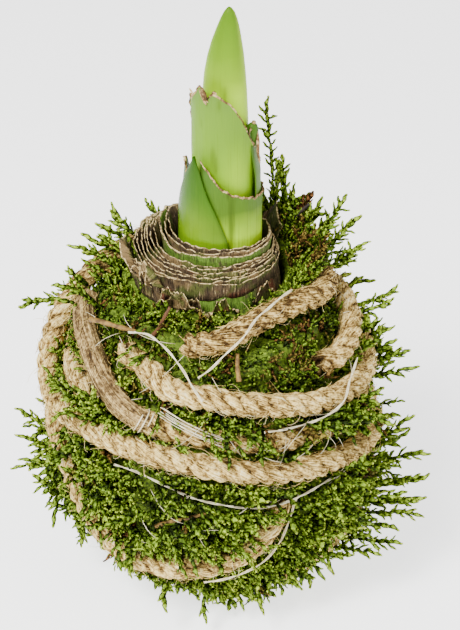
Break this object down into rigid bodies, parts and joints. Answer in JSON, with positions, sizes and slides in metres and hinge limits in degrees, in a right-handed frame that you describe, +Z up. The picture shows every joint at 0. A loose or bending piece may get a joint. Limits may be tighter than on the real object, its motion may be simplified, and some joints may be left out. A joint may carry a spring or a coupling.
{
  "type": "moss-wrapped amaryllis bulb",
  "caption": "Sprouting amaryllis bulb in a ball of feather moss, bound with thick jute rope and fine thread, standing on a small flat spot.",
  "frame": {"origin": "middle of the small flat spot that the moss ball rests on", "axes": "+Z up along the bulb and its sprout, -Y towards the front, where the two small leaves part, +X to the right seen from the front"},
  "size_m": [0.1452, 0.1252, 0.208],
  "materials": {
    "dry_skin": "dry papery bulb skin, matte, tan to red-brown",
    "leaf_green": "fresh smooth leaf, light gloss, yellow-green at its foot",
    "pale_sheath": "pale grey-green leaf base with fine upright veins, dull sheen",
    "moss_green": "feather moss, dark inside to bright yellow-green tips, matte",
    "jute": "three-strand laid jute, tan, hairy, matte",
    "weathered_jute": "smooth grey-brown stretch with grain along it, dull",
    "cream_thread": "cream thread with a slight shine",
    "dry_stalk": "dry brown stalk, matte",
    "red_bract": "red-brown dry root, matte",
    "dark_twig": "dark brown twig, matte"
  },
  "bodies": {
    "root": {"bulb": "dry_skin", "skin_flake_1": "dry_skin", "skin_flake_2": "dry_skin", "skin_flake_3": "dry_skin", "leaf_tall": "leaf_green", "leaf_main_sheath": "pale_sheath", "leaf_right_sheath": "leaf_green", "leaf_left_sheath": "leaf_green", "leaf_front_sheath": "leaf_green", "leaf_left_pointed": "leaf_green", "moss_wrap": "moss_green", "rope_outer_turn": "jute", "rope_front_turn": "jute", "rope_back_turn": "jute", "rope_side_run": "jute", "rope_low_run": "jute", "rope_smooth_stretch": "weathered_jute", "thread_over_top": "cream_thread", "thread_upper_left": "cream_thread", "thread_upper_right": "cream_thread", "thread_front": "cream_thread", "thread_low": "cream_thread", "dry_stalk_low": "dry_stalk", "dry_stalk_stub": "dry_stalk", "bark_strip_upper": "dry_stalk", "dry_root_curl": "red_bract", "dark_twig": "dark_twig"}
  },
  "joints": []
}
